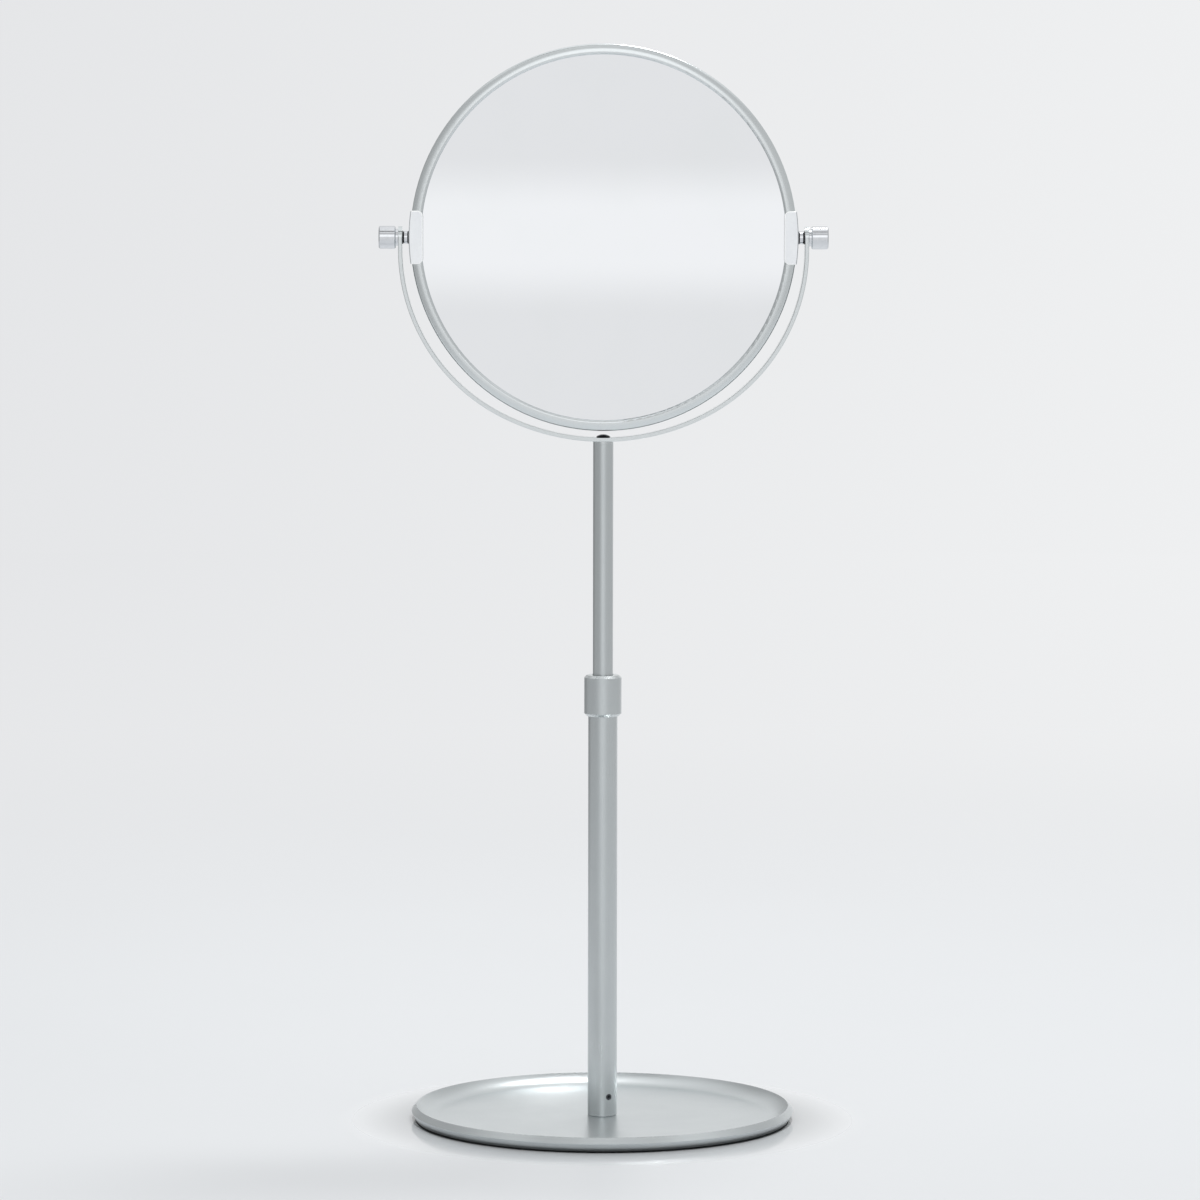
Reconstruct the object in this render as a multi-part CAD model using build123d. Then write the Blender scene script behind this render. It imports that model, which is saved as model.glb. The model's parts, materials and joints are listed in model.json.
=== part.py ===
from build123d import *
import os
from math import acos, asin, atan2, cos, degrees, radians, sin, sqrt

# Fits
slip = 0.05  # radial gap between pieces that are fixed in each other
running = 0.08  # radial gap between pieces that turn or slide in each other
face_gap = 0.1  # gap between flat faces that turn on each other
cut_over = 1.0  # how far a cut runs past the face it opens

# Base: a turned tray with a bevelled rim, on a thin pad
base_radius = 95.0
tray_sheet = 1.0  # thickness of the floor and the cove
rim_height = 7.1
rim_bevel = 2.4  # from the widest line in to the top edge
rim_widest_height = 4.3
rim_foot_inset = 2.1  # from the widest line in to the lower edge
rim_foot_lift = 0.4
rim_foot_width = 1.0
rim_back_inset = 4.5  # from the widest line in to where the rim leaves the cove's underside
cove_radius = 12.0  # inside, between the floor and the rim
pad_thickness = 0.7
pad_margin = 1.5  # pad edge inside the flat floor
pad_hole_radius = 10.0

# Screw that holds the column from beneath
spigot_screw_radius = 2.0
spigot_screw_length = 8.6
spigot_screw_head_radius = 3.8
spigot_screw_socket_flats = 2.5
spigot_screw_socket_depth = 1.3
dimple_clearance = 0.2

# Column
lower_tube_radius = 7.25
lower_tube_wall = 1.5
lower_tube_shown = 200.0  # from the tray to the collar
upper_tube_radius = 5.0
upper_tube_wall = 1.0
upper_tube_length = 196.0
upper_tube_shown = 115.7  # from the collar to the yoke, at rest
tube_edge_break = 0.3

# Spigot and grub screw in the foot of the column
spigot_height = 22.0
spigot_top_chamfer = 1.0
grub_radius = 1.5
grub_length = 3.2
grub_height = 10.0  # above the tray
grub_bearing = 27.0  # degrees to the right of the front
grub_recess = 0.35
grub_socket_flats = 1.5
grub_socket_depth = 1.3
grub_seat_depth = 0.2

# Clamp at the top of the lower tube
collar_radius = 9.25
collar_height = 20.4
collar_chamfer = 1.3
collar_engagement = 13.0  # thread length over the lower tube
collar_mouth_gap = 0.3
collet_skirt = 8.0
collet_flange = 1.2
collet_flange_inset = 0.2
collet_cone_length = 4.3
collet_cone_draw = 1.7
collet_slits = 4
collet_slit_width = 0.8
collet_slit_depth = 4.0  # into the skirt

# Guide on the lower end of the upper tube
bush_length = 14.0
stop_ring_thickness = 1.0
stop_ring_gap = 2.0
stop_ring_proud = 0.55
stop_groove_depth = 0.2
end_plug_length = 8.0
end_plug_flange = 1.5
end_plug_flange_proud = 0.5
tube_insert_length = 12.0

# Yoke: a flat strip bent to a U
strip_thickness = 2.0
strip_width = 11.0
strip_edge_round = 0.35
yoke_straight_end = 6.0  # below the pivot
yoke_bend_offset = 8.7  # from the column's axis to the centre of each side bend
yoke_bend_angle = 63.0  # where the side bend meets the flatter bottom bend
yoke_hole_clearance = 0.15

# Screw inside the bottom of the yoke
yoke_screw_radius = 2.0
yoke_screw_length = 9.0
yoke_screw_head_radius = 3.35
yoke_screw_head_height = 1.5
yoke_screw_head_rim = 0.5
yoke_screw_dome = 0.25  # bulge of the head over a plain cone
yoke_screw_socket_flats = 2.5
yoke_screw_socket_depth = 0.8

# Mirror head
ring_radius = 95.0
ring_depth = 14.0
ring_sheet = 0.8
bezel_width = 5.4
lip_bend_radius = 1.4
lip_turn_in = 1.5  # from the face of the ring to the glass
crown_radius = 7.0
corner_radius = 1.6
ring_joint_gap = 0.5
ring_joint_height = 9.0  # above the left pivot, under the bracket
glass_thickness = 2.0
glass_arris = 0.3
glass_edge_gap = 0.3
magnifier_radius = 1250.0  # of the rear glass's concave face
core_edge_gap = 0.6

# Saddle brackets over the ring
bracket_proud = 0.7
bracket_cheek = 1.0
bracket_reach = 6.3
bracket_height = 26.3
bracket_inner_corner = 2.8
bracket_outer_corner = 0.8
bracket_edge_round = 0.75

# Pivots
stud_radius = 2.0
washer_radius = 3.2
washer_thickness = 0.45
spacer_radius = 3.2
spacer_length = 2.3
spacer_chamfer = 0.4
nut_width = 10.0
nut_length = 7.0
nut_gap = 0.3
nut_corner = 0.6
knob_radius = 5.7
knob_length = 8.4
knob_chamfer = 0.6
knob_neck_radius = 4.2
knob_neck_length = 1.1
stud_in_knob = 5.5
stud_in_nut = 6.0

# Heights that follow
floor_bottom = pad_thickness
floor_top = floor_bottom + tray_sheet
collar_bottom = floor_top + lower_tube_shown
collar_top = collar_bottom + collar_height
lower_tube_top = collar_bottom + collar_engagement
upper_tube_top = collar_top + upper_tube_shown
upper_tube_bottom = upper_tube_top - upper_tube_length
lower_bore = lower_tube_radius - lower_tube_wall
upper_bore = upper_tube_radius - upper_tube_wall

# Pivot line, from the mirror's centre outwards
bracket_face = ring_radius + bracket_proud
spacer_start = bracket_face + washer_thickness
outer_washer_start = spacer_start + spacer_length + face_gap
yoke_inside = outer_washer_start + washer_thickness
yoke_outside = yoke_inside + strip_thickness
knob_start = yoke_outside + face_gap

# Bends of the yoke
side_bend_radius = yoke_outside - yoke_bend_offset
bend_centre_distance = yoke_bend_offset / cos(radians(yoke_bend_angle))
bottom_bend_radius = side_bend_radius + bend_centre_distance
bottom_centre_rise = bend_centre_distance * sin(radians(yoke_bend_angle))
yoke_drop = yoke_straight_end + bottom_bend_radius - bottom_centre_rise
pivot_height = upper_tube_top + yoke_drop

# Layers of the head, measured from its middle plane
glass_face = ring_depth / 2 - lip_turn_in - slip
glass_back = glass_face - glass_thickness
glass_radius = ring_radius - ring_sheet - glass_edge_gap
lip_radius = ring_radius - bezel_width

on_floor = (Align.CENTER, Align.CENTER, Align.MIN)
pivot_line = Pos(0, 0, pivot_height)
head_axis = Axis((0, 0, pivot_height), (0, 1, 0))


def rod(radius, start, end):
    return Pos(0, 0, start) * Cylinder(radius, end - start, align=on_floor)


def sleeve(outer, inner, start, end):
    return rod(outer, start, end) - rod(inner, start, end)


def turned(points):
    """A revolved solid from the corners of its half section, as (radius, height)."""
    outline = Polyline(*points, close=True)
    return revolve(Plane.XZ * make_face(outline), axis=Axis.Z)


def hex_socket(flats, start, depth):
    return Pos(0, 0, start) * extrude(RegularPolygon(flats / 2, 6, major_radius=False), depth)


def along_pivot(shape, side):
    """Lays a piece built along +Z on the pivot line, outwards to the right (1) or left (-1)."""
    return pivot_line * Rot(0, 90 * side, 0) * shape


def dimple_outer_radius():
    return spigot_screw_head_radius + dimple_clearance


def dimple_rise():
    """Height of the dimple's top face above its underside, straight up."""
    return tray_sheet * sqrt(2)


def flat_floor_radius():
    """Where the cove starts; it ends at the top edge of the rim."""
    above = cove_radius - (rim_height - floor_top)
    return base_radius - rim_bevel - sqrt(cove_radius**2 - above**2)


def base_tray():
    """Flat floor, wide cove and bevelled rim, with a dimple for the screw in the middle."""
    hole = spigot_screw_radius + dimple_clearance
    foot = dimple_outer_radius()
    floor_in = foot - tray_sheet + dimple_rise()
    flat_end = flat_floor_radius()
    cove_z = floor_top + cove_radius
    under_radius = cove_radius + tray_sheet
    sweep = degrees(acos((cove_z - rim_height) / cove_radius))
    under_sweep = degrees(asin((base_radius - rim_back_inset - flat_end) / under_radius))
    cove = CenterArc((flat_end, cove_z), cove_radius, 270, sweep)
    under_cove = CenterArc((flat_end, cove_z), under_radius, 270, under_sweep)
    lower_edge = base_radius - rim_foot_inset
    rim = Polyline(
        cove @ 1,
        (base_radius, rim_widest_height),
        (lower_edge, rim_foot_lift),
        (lower_edge - rim_foot_width, rim_foot_lift),
        under_cove @ 1,
    )
    floor = Polyline(
        (flat_end, floor_bottom),
        (foot, floor_bottom),
        (hole, floor_bottom + foot - hole),
        (hole, floor_bottom + foot - hole + dimple_rise()),
        (floor_in, floor_top),
        (flat_end, floor_top),
    )
    section = make_face([cove, rim, under_cove, floor])
    return revolve(Plane.XZ * section, axis=Axis.Z)


def anti_slip_pad():
    return sleeve(flat_floor_radius() - pad_margin, pad_hole_radius, 0, pad_thickness)


def spigot_screw():
    head_z = floor_bottom + face_gap
    neck_z = head_z + spigot_screw_head_radius - spigot_screw_radius
    screw = turned(
        [
            (0, head_z),
            (spigot_screw_head_radius, head_z),
            (spigot_screw_radius, neck_z),
            (spigot_screw_radius, head_z + spigot_screw_length),
            (0, head_z + spigot_screw_length),
        ]
    )
    return screw - hex_socket(spigot_screw_socket_flats, head_z, spigot_screw_socket_depth)


def grub_place():
    """The grub screw's line, from the column's axis outwards."""
    return Pos(0, 0, floor_top + grub_height) * Rot(0, 0, grub_bearing) * Rot(90, 0, 0)


def base_spigot():
    radius = lower_bore - slip
    top = floor_top + spigot_height
    thread = spigot_screw_radius + slip
    seat = dimple_outer_radius() - tray_sheet + dimple_rise() + slip
    thread_end = floor_bottom + face_gap + spigot_screw_length + face_gap
    body = turned(
        [
            (seat, floor_top),
            (radius, floor_top),
            (radius, top - spigot_top_chamfer),
            (radius - spigot_top_chamfer, top),
            (0, top),
            (0, thread_end),
            (thread, thread_end),
            (thread, floor_top + seat - thread),
        ]
    )
    tip = lower_tube_radius - grub_recess - grub_length
    seat_hole = grub_place() * rod(grub_radius + slip, tip - grub_seat_depth, lower_tube_radius)
    return body - seat_hole


def tube_set_screw():
    outer = lower_tube_radius - grub_recess
    screw = rod(grub_radius, outer - grub_length, outer)
    socket = hex_socket(grub_socket_flats, outer - grub_socket_depth, grub_socket_depth)
    return grub_place() * (screw - socket)


def lower_tube():
    tube = turned(
        [
            (lower_bore, floor_top),
            (lower_tube_radius - tube_edge_break, floor_top),
            (lower_tube_radius, floor_top + tube_edge_break),
            (lower_tube_radius, lower_tube_top - tube_edge_break),
            (lower_tube_radius - tube_edge_break, lower_tube_top),
            (lower_bore, lower_tube_top),
        ]
    )
    return tube - grub_place() * rod(grub_radius + slip, lower_bore / 2, 2 * lower_tube_radius)


def clamp_collet():
    """Split collet: skirt in the tube, flange on its end, cone under the collar."""
    bore = upper_tube_radius + running
    skirt = lower_bore - slip
    flange = lower_tube_radius - collet_flange_inset
    cone_start = lower_tube_top + collet_flange
    cone_end = cone_start + collet_cone_length
    body = turned(
        [
            (bore, lower_tube_top - collet_skirt),
            (skirt, lower_tube_top - collet_skirt),
            (skirt, lower_tube_top),
            (flange, lower_tube_top),
            (flange, cone_start),
            (flange - collet_cone_draw, cone_end),
            (bore, cone_end),
        ]
    )
    slit_start = lower_tube_top - collet_slit_depth
    slit = Pos(0, 0, slit_start) * Box(
        2 * lower_tube_radius,
        collet_slit_width,
        cone_end - slit_start + cut_over,
        align=(Align.MIN, Align.CENTER, Align.MIN),
    )
    for i in range(collet_slits):
        body -= Rot(0, 0, 360 / collet_slits * (i + 0.5)) * slit
    return body


def clamp_collar():
    """Sleeve nut: bore over the lower tube, cone over the collet, mouth round the upper tube."""
    bore = lower_tube_radius + running
    cone_start = lower_tube_top + collet_flange
    cone_end = cone_start + collet_cone_length + face_gap
    cone_top = bore - collet_cone_draw
    mouth = upper_tube_radius + collar_mouth_gap
    return turned(
        [
            (bore, collar_bottom),
            (collar_radius - collar_chamfer, collar_bottom),
            (collar_radius, collar_bottom + collar_chamfer),
            (collar_radius, collar_top - collar_chamfer),
            (collar_radius - collar_chamfer, collar_top),
            (mouth, collar_top),
            (mouth, cone_end),
            (cone_top, cone_end),
            (bore, cone_start),
        ]
    )


def stop_ring_start():
    return upper_tube_bottom + face_gap + bush_length + face_gap


def upper_tube():
    tube = sleeve(upper_tube_radius, upper_bore, upper_tube_bottom, upper_tube_top)
    groove_start = stop_ring_start() - slip
    groove_end = stop_ring_start() + stop_ring_thickness + slip
    floor = upper_tube_radius - stop_groove_depth
    outer = upper_tube_radius + cut_over
    return tube - sleeve(outer, floor, groove_start, groove_end)


def guide_bush():
    start = upper_tube_bottom + face_gap
    return sleeve(lower_bore - running, upper_tube_radius + running, start, start + bush_length)


def stop_ring():
    inner = upper_tube_radius - stop_groove_depth + slip
    outer = upper_tube_radius + stop_ring_proud
    start = stop_ring_start()
    ring = sleeve(outer, inner, start, start + stop_ring_thickness)
    gap = Pos(0, outer, start) * Box(stop_ring_gap, 2 * outer, stop_ring_thickness, align=on_floor)
    return ring - gap


def end_plug():
    flange = upper_tube_radius + end_plug_flange_proud
    barrel = rod(upper_bore - slip, upper_tube_bottom, upper_tube_bottom + end_plug_length)
    return barrel + rod(flange, upper_tube_bottom - end_plug_flange, upper_tube_bottom)


def tube_insert():
    start = upper_tube_top - tube_insert_length
    return sleeve(upper_bore - slip, yoke_screw_radius + slip, start, upper_tube_top)


def strip_edges(inset, top):
    """The line of one face of the strip, from the right end round to the left end."""
    side = side_bend_radius - inset
    bend_z = pivot_height - yoke_straight_end
    end_x = yoke_outside - inset
    right_end = Line((end_x, top), (end_x, bend_z))
    right = CenterArc((yoke_bend_offset, bend_z), side, 0, -yoke_bend_angle)
    bottom = CenterArc(
        (0, bend_z + bottom_centre_rise),
        bottom_bend_radius - inset,
        -yoke_bend_angle,
        2 * yoke_bend_angle - 180,
    )
    left = CenterArc((-yoke_bend_offset, bend_z), side, yoke_bend_angle - 180, -yoke_bend_angle)
    left_end = Line((-end_x, bend_z), (-end_x, top))
    return [right_end, right, bottom, left, left_end]


def yoke():
    """U-bent flat strip with full-round ends, drilled for the studs and the yoke screw."""
    half = strip_width / 2
    top = pivot_height + half
    outside = strip_edges(0, top)
    inside = strip_edges(strip_thickness, top)
    right_top = Line((yoke_outside, top), (yoke_inside, top))
    left_top = Line((-yoke_outside, top), (-yoke_inside, top))
    section = make_face(outside + inside + [right_top, left_top])
    strip = extrude(Plane.XZ * section, half, both=True)
    long_edges = [
        edge
        for edge in strip.edges()
        if abs(abs(edge.center().Y) - half) < slip and edge.center().Z < top - slip
    ]
    strip = fillet(long_edges, strip_edge_round)
    span = 2 * (yoke_outside + cut_over)
    drop = yoke_drop + strip_thickness
    under_pivot = Pos(0, 0, pivot_height - drop) * Box(span, strip_width, drop, align=on_floor)
    round_ends = pivot_line * Rot(0, 90, 0) * Cylinder(half, span)
    strip = strip & (under_pivot + round_ends)
    strip -= pivot_line * Rot(0, 90, 0) * Cylinder(stud_radius + yoke_hole_clearance, span)
    screw_hole = yoke_screw_radius + yoke_hole_clearance
    screw_hole_end = upper_tube_top + strip_thickness + cut_over
    return strip - rod(screw_hole, upper_tube_top - cut_over, screw_hole_end)


def yoke_screw():
    """Low domed button head on the strip, shank in the tube's insert."""
    bend = bottom_bend_radius - strip_thickness
    seat_rise = bend - sqrt(bend**2 - yoke_screw_head_radius**2)
    seat = upper_tube_top + strip_thickness + seat_rise
    rim = seat + yoke_screw_head_rim
    crown = seat + yoke_screw_head_height
    shank = seat - yoke_screw_length
    outline = [
        Polyline(
            (0, crown),
            (0, shank),
            (yoke_screw_radius, shank),
            (yoke_screw_radius, seat),
            (yoke_screw_head_radius, seat),
            (yoke_screw_head_radius, rim),
        ),
        SagittaArc((0, crown), (yoke_screw_head_radius, rim), yoke_screw_dome),
    ]
    screw = revolve(Plane.XZ * make_face(outline), axis=Axis.Z)
    depth = yoke_screw_socket_depth
    return screw - hex_socket(yoke_screw_socket_flats, crown - depth, depth)


def channel_outline(inset):
    """Section of the ring's channel as a closed shape, each wall moved in by inset."""
    face = ring_depth / 2 - inset
    wall = ring_radius - inset
    lip = lip_bend_radius - inset
    crown = crown_radius - inset
    corner = corner_radius - inset
    crest_r = lip_radius + lip_bend_radius
    crown_z = ring_depth / 2 - crown_radius
    spread = crown_radius - corner_radius
    slope = (bezel_width - lip_bend_radius - corner_radius) / spread
    turn = degrees(atan2(slope, sqrt(1 - slope**2)))
    corner_r = ring_radius - corner_radius
    corner_z = crown_z + spread * cos(radians(turn))
    lip_z = ring_depth / 2 - lip_bend_radius
    curves = []
    for side in (1, -1):
        lip_arc = CenterArc((crest_r, side * lip_z), lip, side * 90, side * 90)
        crown_arc = CenterArc((crest_r, side * crown_z), crown, side * 90, -side * turn)
        corner_arc = CenterArc((corner_r, side * corner_z), corner, 0, side * (90 - turn))
        curves += [lip_arc, crown_arc, corner_arc]
    curves.append(Line((wall, -corner_z), (wall, corner_z)))
    curves.append(Line((lip_radius + inset, -lip_z), (lip_radius + inset, lip_z)))
    return make_face(curves), face


def head_turned(section):
    """Revolves a section, drawn as (radius, depth), round the head's own axis."""
    return revolve(pivot_line * section, axis=head_axis)


def stud_holes(radius):
    return pivot_line * Rot(0, 90, 0) * Cylinder(radius, 2 * knob_start)


def bezel_ring():
    """Rolled channel with crowned faces and turned-in lips, closed by a butt joint."""
    outer, _ = channel_outline(0)
    inner, _ = channel_outline(ring_sheet)
    mouth_depth = ring_depth - 2 * lip_turn_in
    mouth = Pos(lip_radius, 0) * Rectangle(bezel_width, mouth_depth)
    ring = head_turned(outer - inner - mouth)
    ring -= stud_holes(stud_radius + yoke_hole_clearance)
    joint = Box(2 * bezel_width, 2 * ring_depth, ring_joint_gap)
    return ring - pivot_line * Pos(-ring_radius, 0, ring_joint_height) * joint


def front_glass():
    glass = Cylinder(glass_radius, glass_thickness)
    glass = chamfer(glass.edges().filter_by(GeomType.CIRCLE), glass_arris)
    middle = (glass_face + glass_back) / 2
    return pivot_line * Pos(0, -middle, 0) * Rot(90, 0, 0) * glass


def bowl(radius, level):
    """Depth of a concave face at a radius, where level is its depth at the edge."""
    edge = sqrt(magnifier_radius**2 - glass_radius**2)
    return level + edge - sqrt(magnifier_radius**2 - radius**2)


def bowl_arc(level, rim):
    points = [(r, bowl(r, level)) for r in (0, rim / 2, rim)]
    return ThreePointArc(*points)


def rear_glass():
    """Concave magnifying glass, bent to one radius, its hollow side to the back."""
    face = bowl_arc(glass_face, glass_radius)
    back = bowl_arc(glass_back, glass_radius)
    rim = Line(face @ 1, back @ 1)
    centre = Line(face @ 0, back @ 0)
    return head_turned(make_face([face, back, rim, centre]))


def nut_outside():
    return ring_radius - ring_sheet - nut_gap


def nut_box(clearance):
    """Block between the glasses; the rear glass bows in, so it is thinner at the back."""
    front = glass_back - slip + clearance
    rear = bowl(nut_outside() - nut_length, glass_back) - slip + clearance
    block = Box(
        nut_length + clearance,
        front + rear,
        nut_width + 2 * clearance,
        align=(Align.MAX, Align.MIN, Align.CENTER),
    )
    return Pos(nut_outside(), -front, 0) * block


def to_side(shape, side):
    """Puts a piece built at the right pivot there (1), or mirrors it to the left (-1)."""
    placed = shape if side > 0 else mirror(shape, about=Plane.YZ)
    return pivot_line * placed


def backing_core():
    """Filler disc between the glasses, with a notch at each side for the pivot nut."""
    rim = glass_radius - core_edge_gap
    back = bowl_arc(glass_back - slip, rim)
    front = Line((0, -glass_back + slip), (rim, -glass_back + slip))
    edge = Line(front @ 1, back @ 1)
    centre = Line(front @ 0, back @ 0)
    core = head_turned(make_face([back, front, edge, centre]))
    for side in (1, -1):
        core -= to_side(nut_box(nut_gap), side)
    return core


def pivot_nut(side):
    nut = nut_box(0)
    nut = fillet(nut.edges().filter_by(Axis.X), nut_corner)
    nut = nut - Rot(0, 90, 0) * Cylinder(stud_radius + running, 2 * ring_radius)
    return to_side(nut, side)


def bracket(side):
    """Saddle over the ring: two cheeks and an outer wall, hollowed to the ring's form."""
    inner = ring_radius - bracket_reach
    blank = Pos(inner, 0) * Rectangle(
        ring_radius, bracket_height, align=(Align.MIN, Align.CENTER)
    )
    cheek = blank & Circle(bracket_face)
    corners = cheek.vertices().sort_by(Axis.X)
    cheek = fillet(corners[:2], bracket_inner_corner)
    corners = cheek.vertices().group_by(Axis.X)[-1]
    cheek = fillet(corners, bracket_outer_corner)
    half = ring_depth / 2 + bracket_cheek
    body = extrude(Plane.XZ * cheek, half, both=True)
    rims = body.faces().filter_by(Axis.Y).edges()
    body = fillet(rims, bracket_edge_round)
    fit, face = channel_outline(-slip)
    fill = Rectangle(lip_radius + lip_bend_radius, 2 * face, align=(Align.MIN, Align.CENTER))
    body -= revolve(fit + fill, axis=Axis.Y)
    body -= Rot(0, 90, 0) * Cylinder(stud_radius + yoke_hole_clearance, 2 * knob_start)
    return to_side(body, side)


def washer(start):
    return sleeve(washer_radius, stud_radius + running, start, start + washer_thickness)


def spacer():
    start = spacer_start
    end = spacer_start + spacer_length
    bore = stud_radius + running
    return turned(
        [
            (bore, start),
            (spacer_radius - spacer_chamfer, start),
            (spacer_radius, start + spacer_chamfer),
            (spacer_radius, end - spacer_chamfer),
            (spacer_radius - spacer_chamfer, end),
            (bore, end),
        ]
    )


def knob():
    """Turned knob with a neck, broken edges and a blind bore for its stud."""
    neck_end = knob_start + knob_neck_length
    end = neck_end + knob_length
    bore = stud_radius + slip
    bore_end = knob_start + stud_in_knob + slip
    return turned(
        [
            (bore, knob_start),
            (knob_neck_radius, knob_start),
            (knob_neck_radius, neck_end),
            (knob_radius - knob_chamfer, neck_end),
            (knob_radius, neck_end + knob_chamfer),
            (knob_radius, end - knob_chamfer),
            (knob_radius - knob_chamfer, end),
            (0, end),
            (0, bore_end),
            (bore, bore_end),
        ]
    )


def stud():
    return rod(stud_radius, nut_outside() - stud_in_nut, knob_start + stud_in_knob)


nodes = {
    "base_tray": base_tray(),
    "anti_slip_pad": anti_slip_pad(),
    "base_spigot": base_spigot(),
    "spigot_screw": spigot_screw(),
    "tube_set_screw": tube_set_screw(),
    "lower_tube": lower_tube(),
    "clamp_collar": clamp_collar(),
    "clamp_collet": clamp_collet(),
    "upper_tube": upper_tube(),
    "guide_bush": guide_bush(),
    "stop_ring": stop_ring(),
    "end_plug": end_plug(),
    "tube_insert": tube_insert(),
    "yoke": yoke(),
    "yoke_screw": yoke_screw(),
    "bezel_ring": bezel_ring(),
    "front_glass": front_glass(),
    "rear_glass": rear_glass(),
    "backing_core": backing_core(),
}
for name, side in (("left", -1), ("right", 1)):
    nodes[name + "_bracket"] = bracket(side)
    nodes[name + "_pivot_nut"] = pivot_nut(side)
    nodes[name + "_inner_washer"] = along_pivot(washer(bracket_face), side)
    nodes[name + "_spacer"] = along_pivot(spacer(), side)
    nodes[name + "_outer_washer"] = along_pivot(washer(outer_washer_start), side)
    nodes[name + "_knob"] = along_pivot(knob(), side)
    nodes[name + "_stud"] = along_pivot(stud(), side)

os.makedirs("parts", exist_ok=True)
for name, shape in nodes.items():
    export_step(shape, f"parts/{name}.step")
print("pivot height", round(pivot_height, 2), "total", round(pivot_height + ring_radius, 2))
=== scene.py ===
import json
import math

import bmesh
import bpy
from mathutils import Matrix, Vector


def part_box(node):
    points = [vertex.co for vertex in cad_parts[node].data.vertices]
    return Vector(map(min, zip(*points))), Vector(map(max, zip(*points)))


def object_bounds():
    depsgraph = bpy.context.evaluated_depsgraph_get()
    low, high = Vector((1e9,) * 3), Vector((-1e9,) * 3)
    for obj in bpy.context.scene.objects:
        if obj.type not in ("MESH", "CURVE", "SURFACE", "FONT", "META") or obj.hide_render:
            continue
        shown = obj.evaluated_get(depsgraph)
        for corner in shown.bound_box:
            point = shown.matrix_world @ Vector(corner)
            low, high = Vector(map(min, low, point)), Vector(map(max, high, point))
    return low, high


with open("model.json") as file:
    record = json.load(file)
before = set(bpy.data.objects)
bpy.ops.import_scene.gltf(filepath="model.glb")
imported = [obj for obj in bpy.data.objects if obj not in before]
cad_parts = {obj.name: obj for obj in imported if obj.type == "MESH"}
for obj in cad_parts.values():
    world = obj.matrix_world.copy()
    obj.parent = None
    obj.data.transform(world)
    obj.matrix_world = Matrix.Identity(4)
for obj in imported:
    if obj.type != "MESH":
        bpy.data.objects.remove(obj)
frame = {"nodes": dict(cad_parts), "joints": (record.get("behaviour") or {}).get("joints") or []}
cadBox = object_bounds()
nodes = frame["nodes"]
print("frame loaded:", len(nodes), "nodes")

tiltJoint = next(joint for joint in frame["joints"] if joint["name"] == "head_tilt")
pivotHeight = tiltJoint["pos_m"][2]
objectCentre = (Vector(cadBox[0]) + Vector(cadBox[1])) / 2


# Shader maths
class Wire:
    # an output socket that can be used in Python arithmetic
    def __init__(self, sheet, socket):
        self.sheet = sheet
        self.socket = socket

    def maths(self, operation, *values):
        return self.sheet.node("Math", {"operation": operation}, dict(enumerate(values)))

    def __add__(self, other):
        return self.maths("ADD", self, other)

    def __radd__(self, other):
        return self.maths("ADD", other, self)

    def __sub__(self, other):
        return self.maths("SUBTRACT", self, other)

    def __rsub__(self, other):
        return self.maths("SUBTRACT", other, self)

    def __mul__(self, other):
        return self.maths("MULTIPLY", self, other)

    def __rmul__(self, other):
        return self.maths("MULTIPLY", other, self)

    def __truediv__(self, other):
        return self.maths("DIVIDE", self, other)

    def __rtruediv__(self, other):
        return self.maths("DIVIDE", other, self)

    def root(self):
        return self.maths("SQRT", self)

    def size(self):
        return self.maths("ABSOLUTE", self)

    def step(self, low, high, start=0.0, end=1.0):
        # goes smoothly from start to end while the value goes from low to high
        places = {"Value": self, "From Min": low, "From Max": high, "To Min": start, "To Max": end}
        return self.sheet.node("MapRange", {"interpolation_type": "SMOOTHSTEP"}, places)


class Sheet:
    # the node tree of one material, or of the world
    def __init__(self, owner):
        self.owner = owner
        owner.use_nodes = True
        self.tree = owner.node_tree
        self.tree.nodes.clear()

    def make(self, kind, settings=None, inputs=None):
        made = self.tree.nodes.new("ShaderNode" + kind)
        for name, value in (settings or {}).items():
            setattr(made, name, value)
        for name, value in (inputs or {}).items():
            if isinstance(value, Wire):
                self.tree.links.new(value.socket, made.inputs[name])
            else:
                made.inputs[name].default_value = value
        return made

    def node(self, kind, settings=None, inputs=None, output=0):
        return Wire(self, self.make(kind, settings, inputs).outputs[output])

    def place(self):
        return self.node("TexCoord", output="Object")

    def split(self, point):
        parts = self.make("SeparateXYZ", inputs={0: point})
        return [Wire(self, part) for part in parts.outputs]

    def join(self, x, y, z):
        return self.node("CombineXYZ", inputs={0: x, 1: y, 2: z})

    def noise(self, point, scale, detail=2.0, roughness=0.5):
        inputs = {"Vector": point, "Scale": scale, "Detail": detail, "Roughness": roughness}
        return self.node("TexNoise", inputs=inputs)

    def mix(self, factor, first, second):
        inputs = {0: factor, 6: colour(first), 7: colour(second)}
        return self.node("Mix", {"data_type": "RGBA"}, inputs, output=2)

    def bump(self, height, depth):
        return self.node("Bump", inputs={"Height": height, "Distance": depth, "Strength": 1.0})

    def finish(self, inputs):
        shader = self.node("BsdfPrincipled", inputs=inputs)
        self.make("OutputMaterial", inputs={"Surface": shader})
        return self.owner


def colour(value):
    # a Wire stays as it is; a screen colour of 0 to 255 becomes linear light
    if isinstance(value, Wire):
        return value
    return [*(linear(part) for part in value), 1.0]


def linear(part):
    part = part / 255
    return part / 12.92 if part <= 0.04045 else ((part + 0.055) / 1.055) ** 2.4


def around(x, y):
    # the distance from the axis that a piece was turned or rolled about
    return (x * x + y * y).root()


def newSheet(name):
    return Sheet(bpy.data.materials.new(name))


def dress(material, *names):
    for name in names:
        slots = nodes[name].data.materials
        if not slots:
            slots.append(material)
        for index in range(len(slots)):
            slots[index] = material


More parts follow.
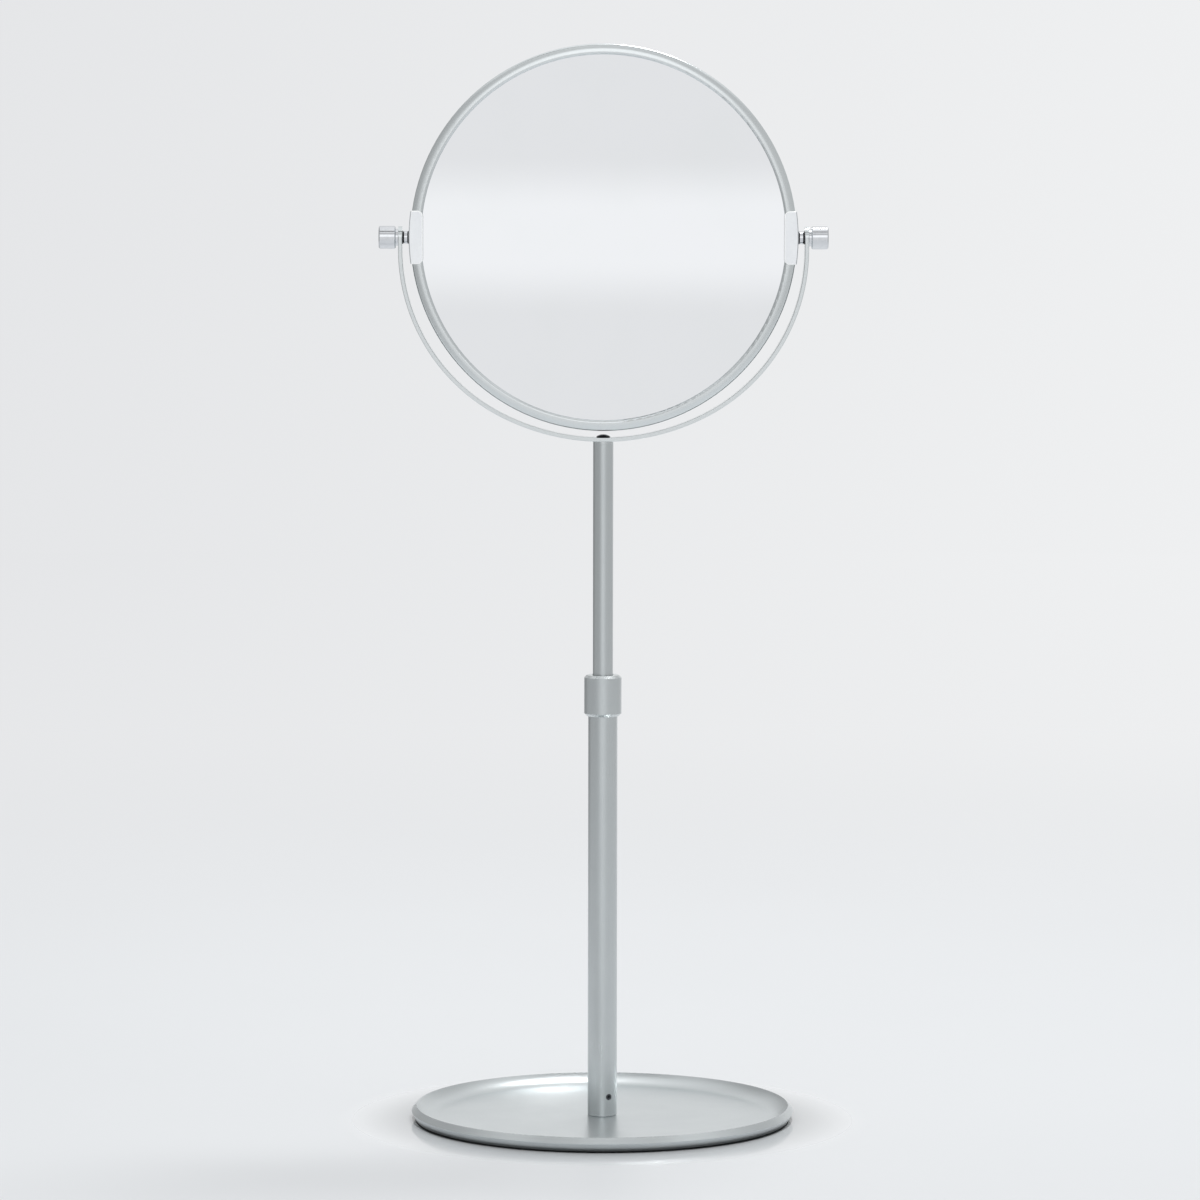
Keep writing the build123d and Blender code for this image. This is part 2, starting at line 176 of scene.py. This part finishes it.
# Satin aluminium, shared by the tray, the tubes, the collar, the ring and the yoke
satin = {
    "colour": (204, 209, 210),
    "shade": (192, 197, 199),
    "blotchScale": 38.0,
    "blotchShare": 0.22,
    "lineShare": 0.2,
    "lineDepth": 0.000006,
    "grainScale": 5200.0,
    "grainDepth": 0.000012,
    "roughnessSpread": 0.08,
    "worn": (222, 225, 226),
    "wornShare": 0.5,
    "wornRoughness": 0.22,
    "wornPatches": 900.0,
}


def satinMetal(name, piece, lines, wear):
    # lines: how the metal was drawn, spun or rolled, as a point whose noise runs along it
    # piece["tone"]: how much lighter than the common satin this piece is, in screen steps
    sheet = newSheet(name)
    point = sheet.place()
    x, y, z = sheet.split(point)
    blotch = sheet.noise(point, satin["blotchScale"], 3.0, 0.55)
    grain = sheet.noise(point, satin["grainScale"], 2.0, 0.6)
    drawn = sheet.noise(lines(sheet, x, y, z), 1.0, 3.0, 0.65)
    worn = wear(x, y, z) * sheet.noise(point, satin["wornPatches"], 3.0, 0.7).step(0.30, 0.62)
    light = [part + piece["tone"] for part in satin["colour"]]
    shade = [part + piece["tone"] for part in satin["shade"]]
    cloud = blotch.step(0.32, 0.70) * satin["blotchShare"] + drawn.step(0.35, 0.7) * satin["lineShare"]
    base = sheet.mix(worn * satin["wornShare"], sheet.mix(cloud, light, shade), satin["worn"])
    spread = satin["roughnessSpread"]
    rough = (blotch - 0.5) * spread + (drawn - 0.5) * spread + (grain - 0.5) * spread + piece["roughness"]
    rough = rough * (1 - worn) + worn * satin["wornRoughness"]
    height = grain * (satin["grainDepth"] / satin["lineDepth"]) + drawn
    return sheet.finish({
        "Base Color": base,
        "Metallic": 1.0,
        "Roughness": rough,
        "Normal": sheet.bump(height, satin["lineDepth"]),
    })


# The tray is spun, so its lines run round, and the top of its rim is worn
tray = {
    "tone": 3,
    "roughness": 0.31,
    "linesAcross": 2600.0,
    "linesUp": 1800.0,
    "wornHeight": 0.0004,
}


def trayLines(sheet, x, y, z):
    return sheet.join(around(x, y) * tray["linesAcross"], z * tray["linesUp"], 0.0)


def trayWear(x, y, z):
    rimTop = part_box("base_tray")[1].z
    return z.step(rimTop - tray["wornHeight"], rimTop)


# Both tubes are drawn, so their lines run up, and they are worn at one end
tubes = {
    "tone": 0,
    "roughness": 0.30,
    "linesAcross": 3000.0,
    "linesUp": 14.0,
    "wornMouth": 0.0014,
    "wornTop": 0.0012,
    "fullyWorn": 0.0001,
}


def tubeLines(sheet, x, y, z):
    return sheet.join(x * tubes["linesAcross"], y * tubes["linesAcross"], z * tubes["linesUp"])


def tubeWear(x, y, z):
    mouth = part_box("lower_tube")[0].z
    return z.step(mouth + tubes["wornMouth"], mouth + tubes["fullyWorn"])


def mastWear(x, y, z):
    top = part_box("upper_tube")[1].z
    return z.step(top - tubes["wornTop"], top - tubes["fullyWorn"])


# The collar is turned, and worn at both ends
collar = {
    "tone": 0,
    "roughness": 0.33,
    "linesAcross": 2400.0,
    "linesUp": 3400.0,
    "wornEnd": 0.0016,
    "fullyWorn": 0.0010,
}


def collarLines(sheet, x, y, z):
    return sheet.join(around(x, y) * collar["linesAcross"], z * collar["linesUp"], 0.0)


def collarWear(x, y, z):
    low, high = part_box("clamp_collar")
    middle = (low.z + high.z) / 2
    half = (high.z - low.z) / 2
    return (z - middle).size().step(half - collar["wornEnd"], half - collar["fullyWorn"])


# The ring and the yoke are rolled round the tilt axis, and worn where they stand forward
ring = {
    "tone": 20,
    "roughness": 0.20,
    "wornDepth": 0.0004,
}
yoke = {
    "tone": 14,
    "roughness": 0.17,
    "wornEdge": 0.0004,
    "fullyWorn": 0.0001,
}
rolledLineScale = 2600.0


def rolledLines(sheet, x, y, z):
    return sheet.join(around(x, z - pivotHeight) * rolledLineScale, y * rolledLineScale, 0.0)


def ringWear(x, y, z):
    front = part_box("bezel_ring")[0].y
    return y.step(front + ring["wornDepth"], front)


def yokeWear(x, y, z):
    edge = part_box("yoke")[1].y
    return y.size().step(edge - yoke["wornEdge"], edge - yoke["fullyWorn"])


dress(satinMetal("traySatin", tray, trayLines, trayWear), "base_tray")
dress(satinMetal("tubeSatin", tubes, tubeLines, tubeWear), "lower_tube")
dress(satinMetal("mastSatin", tubes, tubeLines, mastWear), "upper_tube")
dress(satinMetal("collarSatin", collar, collarLines, collarWear), "clamp_collar")
dress(satinMetal("ringSatin", ring, rolledLines, ringWear), "bezel_ring")
dress(satinMetal("yokeSatin", yoke, rolledLines, yokeWear), "yoke")
print("satin aluminium done")


# Polished chrome of the knobs and the barrels on the pivots
chrome = {
    "colour": (222, 224, 227),
    "haze": (206, 209, 213),
    "hazeScale": 420.0,
    "hazeShare": 0.5,
    "hazeRoughness": 0.05,
    "roughness": 0.075,
    "lineScale": 5200.0,
    "lineRoughness": 0.04,
    "lineDepth": 0.000002,
}


def brightChrome():
    sheet = newSheet("brightChrome")
    point = sheet.place()
    x, y, z = sheet.split(point)
    radius = around(y, z - pivotHeight)
    lines = sheet.join(x * chrome["lineScale"], radius * chrome["lineScale"], 0.0)
    turned = sheet.noise(lines, 1.0, 2.0, 0.6)
    haze = sheet.noise(point, chrome["hazeScale"], 3.0, 0.6)
    rough = (turned - 0.5) * chrome["lineRoughness"] + (haze - 0.5) * chrome["hazeRoughness"]
    return sheet.finish({
        "Base Color": sheet.mix(haze.step(0.4, 0.75) * chrome["hazeShare"], chrome["colour"], chrome["haze"]),
        "Metallic": 1.0,
        "Roughness": rough + chrome["roughness"],
        "Normal": sheet.bump(turned, chrome["lineDepth"]),
    })


# Screws, studs and the steel pieces inside
screws = {
    "hazeScale": 1500.0,
    "hazeDepth": 0.000008,
    "hazeRoughness": 0.12,
    "shadeShare": 0.8,
}


def screwSteel(name, tone, rough):
    sheet = newSheet(name)
    haze = sheet.noise(sheet.place(), screws["hazeScale"], 3.0, 0.6)
    shade = [part * screws["shadeShare"] for part in tone]
    return sheet.finish({
        "Base Color": sheet.mix(haze.step(0.35, 0.7), tone, shade),
        "Metallic": 1.0,
        "Roughness": (haze - 0.5) * screws["hazeRoughness"] + rough,
        "Normal": sheet.bump(haze, screws["hazeDepth"]),
    })


# Moulded plastic and rubber
moulding = {
    "grainScale": 3800.0,
    "grainDepth": 0.00001,
    "grainShare": 0.2,
    "cloudScale": 90.0,
    "cloudShare": 0.6,
    "padGrainScale": 1800.0,
    "padGrainDepth": 0.00005,
}


def mouldedTone(sheet, fine, cloudy, tone, shade):
    share = cloudy.step(0.35, 0.7) * moulding["cloudShare"] + fine * moulding["grainShare"]
    return sheet.mix(share, tone, shade)


def moulded(name, tone, shade, rough, grainScale=moulding["grainScale"], depth=moulding["grainDepth"]):
    sheet = newSheet(name)
    point = sheet.place()
    fine = sheet.noise(point, grainScale, 2.0, 0.6)
    cloudy = sheet.noise(point, moulding["cloudScale"], 3.0, 0.5)
    return sheet.finish({
        "Base Color": mouldedTone(sheet, fine, cloudy, tone, shade),
        "Metallic": 0.0,
        "Roughness": (fine - 0.5) * 0.15 + (cloudy - 0.5) * 0.08 + rough,
        "Normal": sheet.bump(fine, depth),
    })


# Saddle brackets: their rounded edges are polished, and carry a painted highlight, pale all round, with painted
# shade on the outward side
bracket = {
    "face": (236, 238, 240),
    "shade": (230, 232, 235),
    # painted highlight colour for the rounded edges, and painted shade colour for the edges that face outward
    "edge": (252, 253, 253),
    "paintedOuterEdgeShade": (168, 171, 174),
    "flat": (0.93, 0.98),
    "outward": (0.02, 0.05),
    "edgeRoughness": 0.24,
    "faceRoughness": 0.14,
}


def bracketPlastic():
    sheet = newSheet("bracketPlastic")
    point = sheet.place()
    x, y, z = sheet.split(point)
    across, forward, upward = sheet.split(sheet.node("NewGeometry", output="Normal"))
    # square is 1 on the flat faces; off them the rounded edges take the painted highlight
    square = across.size().step(*bracket["flat"]) + forward.size().step(*bracket["flat"])
    # mask of the outward-facing edges, which take painted shade in place of the highlight
    paintedShadeMask = (x * across).step(*bracket["outward"])
    fine = sheet.noise(point, moulding["grainScale"], 2.0, 0.6)
    cloudy = sheet.noise(point, moulding["cloudScale"], 3.0, 0.5)
    face = mouldedTone(sheet, fine, cloudy, bracket["face"], bracket["shade"])
    # painted edge light: pale painted highlight on the rounded edges, turning to painted grey shade where they
    # face outward
    edge = sheet.mix(paintedShadeMask, bracket["edge"], bracket["paintedOuterEdgeShade"])
    return sheet.finish({
        "Base Color": sheet.mix(square, edge, face),
        "Metallic": 0.0,
        "Roughness": (fine - 0.5) * 0.12 + square * bracket["faceRoughness"] + bracket["edgeRoughness"],
        "Normal": sheet.bump(fine, moulding["grainDepth"]),
    })


# Silvered glass with a faint film
glass = {
    "colour": (243, 244, 246),
    "film": (240, 242, 243),
    "filmScale": 26.0,
    "filmShare": 0.5,
    "filmRoughness": 0.012,
}


def mirrorGlass():
    sheet = newSheet("mirrorGlass")
    film = sheet.noise(sheet.place(), glass["filmScale"], 4.0, 0.6)
    return sheet.finish({
        "Base Color": sheet.mix(film.step(0.4, 0.8) * glass["filmShare"], glass["colour"], glass["film"]),
        "Metallic": 1.0,
        "Roughness": film.step(0.45, 0.9) * glass["filmRoughness"],
    })


# Fibreboard between the two glasses
board = {
    "colour": (168, 134, 96),
    "shade": (120, 88, 58),
    "fibres": (900.0, 4200.0, 1300.0),
    "fibreDepth": 0.00006,
    "roughness": 0.8,
}


def coreBoard():
    sheet = newSheet("coreBoard")
    places = sheet.split(sheet.place())
    stretched = sheet.join(*(place * scale for place, scale in zip(places, board["fibres"])))
    fibres = sheet.noise(stretched, 1.0, 5.0, 0.7)
    return sheet.finish({
        "Base Color": sheet.mix(fibres.step(0.3, 0.7), board["colour"], board["shade"]),
        "Metallic": 0.0,
        "Roughness": (fibres - 0.5) * 0.2 + board["roughness"],
        "Normal": sheet.bump(fibres, board["fibreDepth"]),
    })


def bothSides(*pieces):
    return [side + piece for side in ("left_", "right_") for piece in pieces]


padRubber = moulded("padRubber", (52, 53, 55), (40, 41, 43), 0.75,
                    moulding["padGrainScale"], moulding["padGrainDepth"])
innerSteel = screwSteel("innerSteel", (168, 170, 172), 0.38)
innerPlastic = moulded("innerPlastic", (196, 198, 199), (184, 186, 188), 0.45)
blackPlastic = moulded("blackPlastic", (38, 39, 41), (28, 29, 31), 0.42)
dress(brightChrome(), *bothSides("knob", "spacer"))
dress(screwSteel("screwSteel", (150, 152, 156), 0.3), "spigot_screw", *bothSides("stud"))
dress(screwSteel("grubSteel", (104, 106, 110), 0.24), "tube_set_screw")
dress(screwSteel("blackScrew", (46, 47, 50), 0.22), "yoke_screw")
dress(innerSteel, "base_spigot", "stop_ring", "tube_insert", *bothSides("pivot_nut"))
dress(innerPlastic, "clamp_collet", "guide_bush", "end_plug")
dress(blackPlastic, *bothSides("inner_washer", "outer_washer"))
dress(bracketPlastic(), *bothSides("bracket"))
dress(padRubber, "anti_slip_pad")
dress(mirrorGlass(), "front_glass", "rear_glass")
dress(coreBoard(), "backing_core")
print("small pieces dressed")


# Floor: glossy close to the tray, matt further out, and one with the backdrop at a distance; it carries a
# painted contact shadow and a painted soft shade round the tray
floorDisc = {
    "radius": 4.0,
    "segments": 96,
    "drop": 0.0001,
    "fade": (0.35, 1.9),
    "colour": (223, 225, 227),
    "shade": (216, 218, 220),
    "glossEdge": (0.112, 0.136),
    "nearRoughness": 0.07,
    "farRoughness": 0.45,
    # painted contact shadow: a near-black ring drawn in the floor just under the tray's rim
    "contactInner": (0.0875, 0.0905),
    "contactOuter": (0.0952, 0.0940),
    "paintedContactShadowColour": (20, 21, 22),
    "contactShade": 0.9,
    # painted soft shade round the tray, drawn for camera rays only
    "nearShadeEdge": (0.128, 0.0952),
    "nearShadeColour": (110, 112, 114),
    "nearShade": 0.38,
}

# Backdrop, and the light that comes from each direction: a level, and the edges over which it sets in
studio = {
    "paleLeft": (228, 229, 231),
    "paleRight": (240, 241, 242),
    "tint": (1.0, 1.008, 1.016),
    "ambient": 0.80,
    "ambientFront": 0.30,
    "ambientEdge": (0.3, -0.8),
    "plain": 0.62,
    "front": 0.22,
    "frontEdge": (-0.86, -0.985),
    "behind": 0.26,
    "behindEdge": (0.6, 0.95),
    "leftDark": 0.16,
    "leftEdge": (-0.25, -0.8),
    "rightDark": 0.02,
    "rightEdge": (0.4, 0.95),
    "flag": 0.34,
    "flagBack": (0.1, 0.5),
    "flagInner": (-0.05, -0.2),
    "flagOuter": (-0.95, -0.7),
    "flagTop": (0.38, 0.22),
    "overhead": 0.36,
    "overheadEdge": (0.55, 0.9),
    "panel": 0.50,
    "panelBottom": (0.06, 0.16),
    "panelTop": (0.53, 0.45),
    "panelSide": (0.26, 0.08),
    "panelFront": (-0.2, -0.6),
    "gap": 0.85,
    "gapHeight": 0.885,
    "gapEdge": (0.05, 0.02),
    "gapFront": (0.0, -0.3),
    "strip": 0.125,
    "stripHeight": -0.0110,
    "stripEdge": (0.0155, 0.0045),
    "stripFront": (-0.5, -0.9),
}


def pale(sheet, x):
    return sheet.mix(x, studio["paleLeft"], studio["paleRight"])


def greyLight(sheet, level):
    return sheet.join(*(level * part for part in studio["tint"]))


def sideLevel(x, y, flag=1.0):
    # what a bright surface finds round the object at table height: darker left and behind left
    level = y.step(*studio["frontEdge"], studio["plain"], studio["plain"] + studio["front"])
    level = level + y.step(*studio["behindEdge"]) * studio["behind"]
    level = level - x.step(*studio["leftEdge"]) * studio["leftDark"]
    level = level - x.step(*studio["rightEdge"]) * studio["rightDark"]
    flag = y.step(*studio["flagBack"]) * x.step(*studio["flagInner"]) * x.step(*studio["flagOuter"]) * flag
    return level - flag * studio["flag"]


def floorFinish():
    sheet = newSheet("floorWhite")
    point = sheet.place()
    x, y, z = sheet.split(point)
    seenByCamera = sheet.node("LightPath", output="Is Camera Ray")
    glossy = sheet.node("LightPath", output="Is Glossy Ray")
    cloud = sheet.noise(point, 1.6, 3.0, 0.5)
    reach = around(x, y)
    table = sheet.mix(cloud.step(0.3, 0.8) * 0.3, floorDisc["colour"], floorDisc["shade"])
    # painted soft shade round the tray, seen only by camera rays
    nearShade = reach.step(*floorDisc["nearShadeEdge"]) * seenByCamera * floorDisc["nearShade"]
    table = sheet.mix(nearShade, table, floorDisc["nearShadeColour"])
    # painted contact shadow: a dark ring in the floor under the tray's rim
    paintedContactShadow = reach.step(*floorDisc["contactInner"]) * reach.step(*floorDisc["contactOuter"])
    table = sheet.mix(paintedContactShadow * floorDisc["contactShade"], table, floorDisc["paintedContactShadowColour"])
    sheen = reach.step(*floorDisc["glossEdge"], floorDisc["nearRoughness"], floorDisc["farRoughness"])
    near = sheet.node("BsdfPrincipled", inputs={"Base Color": table, "Roughness": (cloud - 0.5) * 0.04 + sheen})
    mirrored = greyLight(sheet, sideLevel(x / reach, y / reach))
    farColour = sheet.mix(glossy, pale(sheet, x.step(-1.2, 1.2)), mirrored)
    far = sheet.node("Emission", inputs={"Color": farColour})
    surface = sheet.node("MixShader", inputs={0: reach.step(*floorDisc["fade"]), 1: near, 2: far})
    sheet.make("OutputMaterial", inputs={"Surface": surface})
    return sheet.owner


def layFloor():
    mesh = bmesh.new()
    bmesh.ops.create_circle(mesh, cap_ends=True, segments=floorDisc["segments"], radius=floorDisc["radius"])
    bmesh.ops.translate(mesh, verts=mesh.verts, vec=(0.0, 0.0, -floorDisc["drop"]))
    data = bpy.data.meshes.new("floor")
    mesh.to_mesh(data)
    mesh.free()
    data.materials.append(floorFinish())
    floor = bpy.data.objects.new("floor", data)
    bpy.context.scene.collection.objects.link(floor)


def surroundings():
    world = bpy.data.worlds.new("studio")
    bpy.context.scene.world = world
    sheet = Sheet(world)
    x, y, z = sheet.split(sheet.node("TexCoord", output="Generated"))
    level = sideLevel(x, y, z.step(*studio["flagTop"])) + z.step(*studio["overheadEdge"]) * studio["overhead"]
    panel = z.step(*studio["panelBottom"]) * z.step(*studio["panelTop"])
    panel = panel * x.size().step(*studio["panelSide"]) * y.step(*studio["panelFront"])
    gap = (z - studio["gapHeight"]).size().step(*studio["gapEdge"]) * y.step(*studio["gapFront"])
    strip = (z - studio["stripHeight"]).size().step(*studio["stripEdge"]) * y.step(*studio["stripFront"])
    level = level + panel * studio["panel"] - gap * studio["gap"] + strip * studio["strip"]
    full = studio["ambient"] + studio["ambientFront"]
    soft = y.step(*studio["ambientEdge"], studio["ambient"], full)
    ambient = sheet.node("Background", inputs={"Color": greyLight(sheet, soft)})
    mirrored = sheet.node("Background", inputs={"Color": greyLight(sheet, level)})
    seen = sheet.node("Background", inputs={"Color": pale(sheet, x.step(-0.2, 0.2))})
    glossy = sheet.node("LightPath", output="Is Glossy Ray")
    seenByCamera = sheet.node("LightPath", output="Is Camera Ray")
    surface = sheet.node("MixShader", inputs={0: glossy, 1: ambient, 2: mirrored})
    surface = sheet.node("MixShader", inputs={0: seenByCamera, 1: surface, 2: seen})
    sheet.make("OutputWorld", inputs={"Surface": surface})


# One softbox above, behind and to the right
keyLight = {
    "place": (0.36, 0.52, 1.82),
    "size": (0.40, 0.40),
    "power": 8.5,
}


def hangKeyLight():
    data = bpy.data.lights.new("keyLight", "AREA")
    data.shape = "RECTANGLE"
    data.size, data.size_y = keyLight["size"]
    data.energy = keyLight["power"]
    lamp = bpy.data.objects.new("keyLight", data)
    lamp.location = keyLight["place"]
    lamp.rotation_euler = (objectCentre - Vector(keyLight["place"])).to_track_quat("-Z", "Y").to_euler()
    bpy.context.scene.collection.objects.link(lamp)


layFloor()
surroundings()
hangKeyLight()
print("floor and lights done")


# The camera stands where the photograph was taken from
camera = {
    "place": (-0.0015, -2.590, 0.4679),
    "pitch": 4.606,
    "roll": 0.09,
    "lens": 157.5,
    "sensor": 36.0,
}
cameraData = bpy.data.cameras.new("camera")
cameraData.lens = camera["lens"]
cameraData.sensor_width = camera["sensor"]
cameraObject = bpy.data.objects.new("camera", cameraData)
cameraObject.location = camera["place"]
cameraObject.rotation_euler = (math.radians(90 - camera["pitch"]), 0.0, 0.0)
cameraObject.rotation_euler.rotate_axis("Z", math.radians(camera["roll"]))
bpy.context.scene.collection.objects.link(cameraObject)
bpy.context.scene.camera = cameraObject
bpy.context.scene.view_settings.view_transform = "Standard"
print("camera done")
